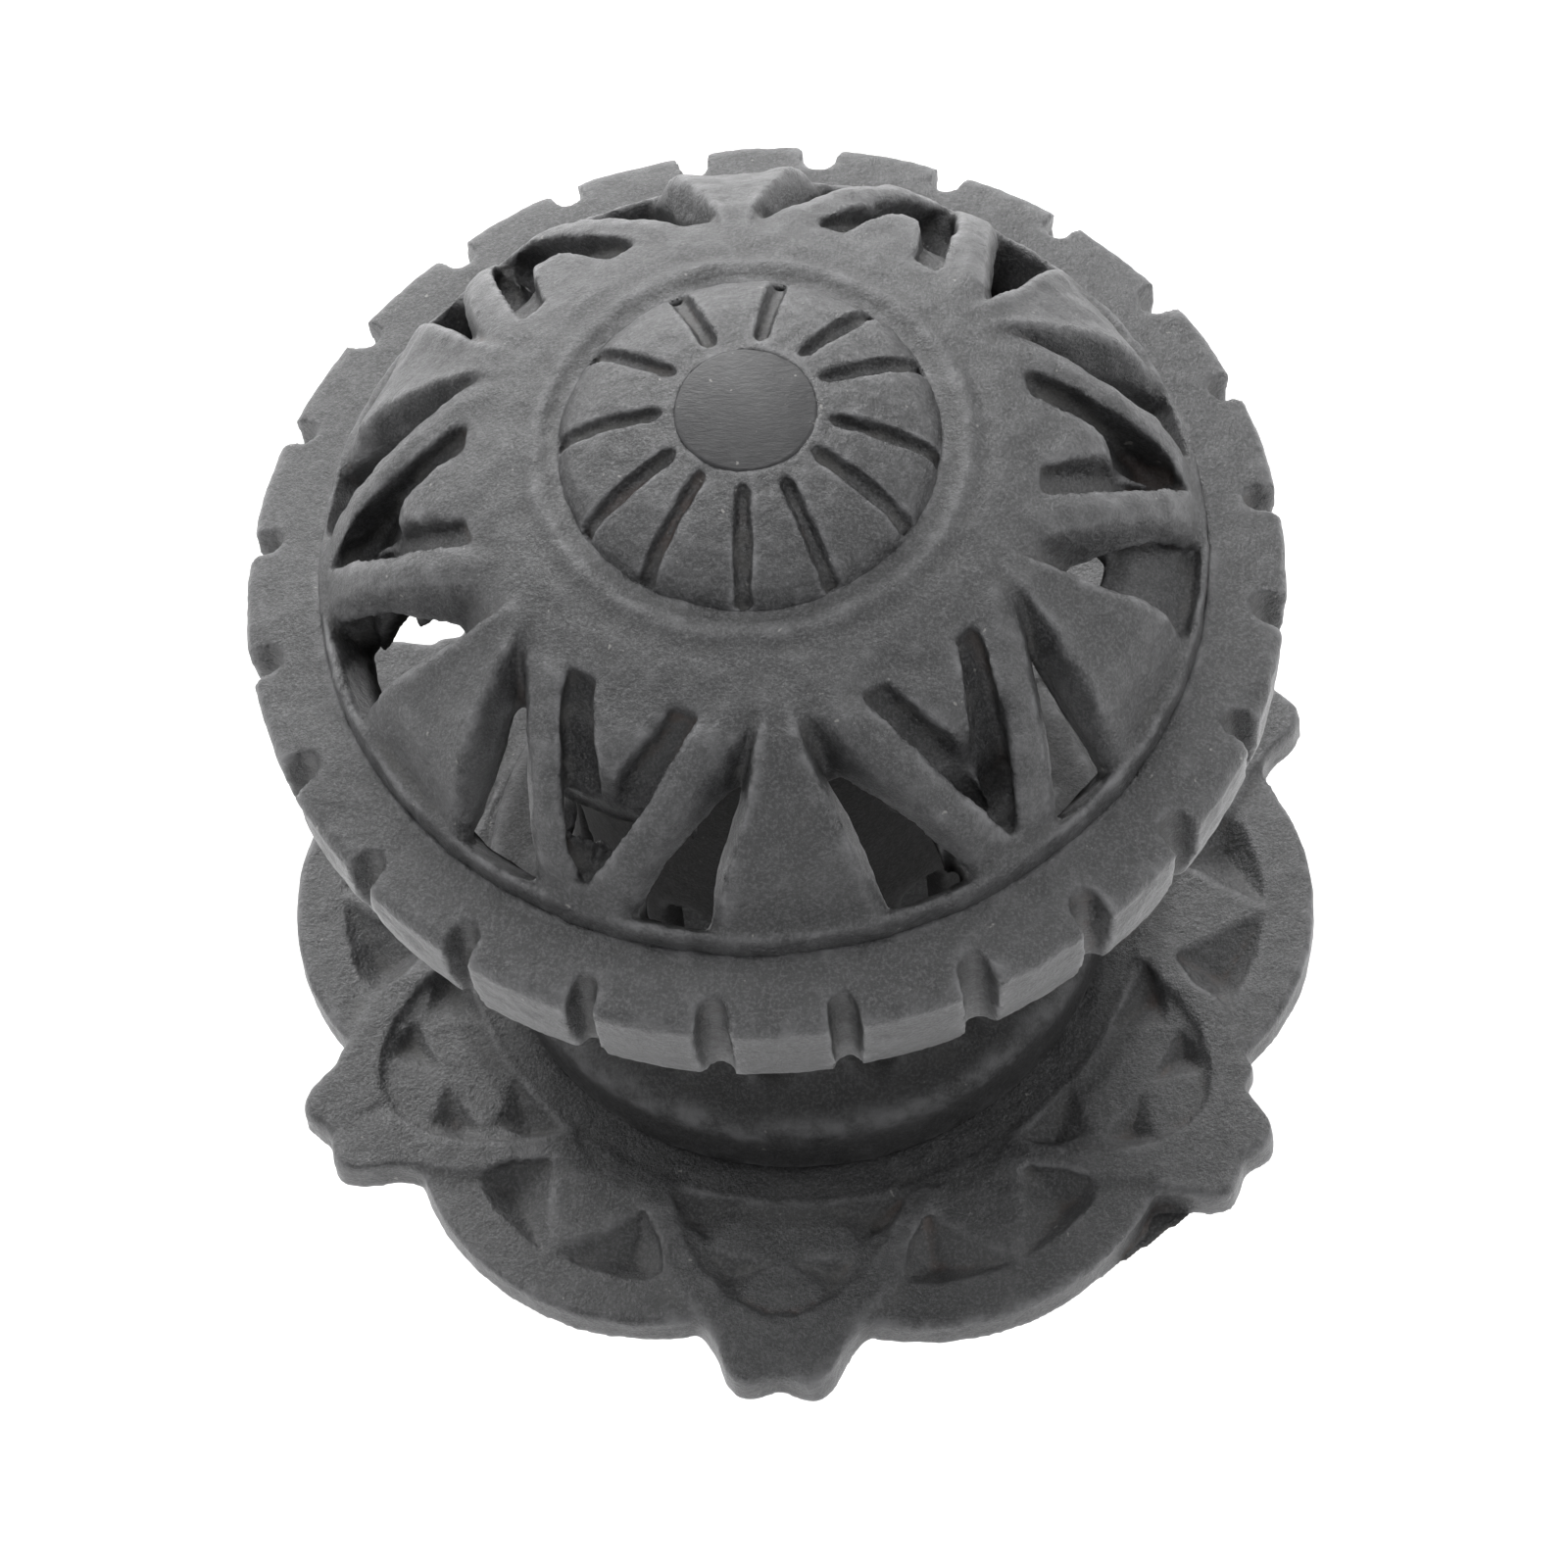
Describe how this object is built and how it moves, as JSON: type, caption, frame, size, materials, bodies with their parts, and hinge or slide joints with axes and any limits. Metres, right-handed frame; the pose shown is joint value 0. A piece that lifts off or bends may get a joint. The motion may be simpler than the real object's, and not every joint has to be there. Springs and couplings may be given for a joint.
{
  "type": "centre door pull",
  "caption": "Round pierced iron door pull on a six-tipped rose, fixed by a bolt through the door with washers and a nut behind.",
  "frame": {"origin": "centre of the rose's back face, where it meets the door", "axes": "+Z out of the door along the knob axis; one tip of the rose points along -Y"},
  "size_m": [0.1044, 0.1108, 0.1679],
  "materials": {
    "blackened_cast_iron": "black waxed sand-cast iron, rubbed grey on the edges, a little rust in the recesses",
    "bolt_iron": "black wrought bolt, head filed flat",
    "oiled_steel": "oiled mild steel"
  },
  "bodies": {
    "rose_plate": {"rose": "blackened_cast_iron"},
    "knob": {"neck": "blackened_cast_iron", "rim_ring": "blackened_cast_iron", "pierced_dome": "blackened_cast_iron", "wheel_boss": "blackened_cast_iron", "through_bolt": "bolt_iron", "hub_washer": "oiled_steel", "hub_nut": "oiled_steel", "hub_dowels": "oiled_steel", "rim_pins": "oiled_steel"},
    "washers": {"back_washer": "oiled_steel", "spring_washer": "oiled_steel"},
    "nut": {"back_nut": "oiled_steel"}
  },
  "joints": [
    {"name": "knob_on_rose", "type": "hinge", "parent": "rose_plate", "child": "knob", "pos_m": [0, 0, 0.003], "axis": [0, 0, 1], "continuous": true},
    {"name": "washer_travel", "type": "slide", "parent": "knob", "child": "washers", "axis": [0, 0, -1], "range_m": [-0.009, 0.011]},
    {"name": "nut_turn", "type": "hinge", "parent": "washers", "child": "nut", "pos_m": [0, 0, -0.052], "axis": [0, 0, -1], "range_deg": [-2620.8, 3196.8]}
  ],
  "couplings": [
    {"joint": "nut_turn", "follows": "washer_travel", "rad_per_m": 5026.5}
  ]
}
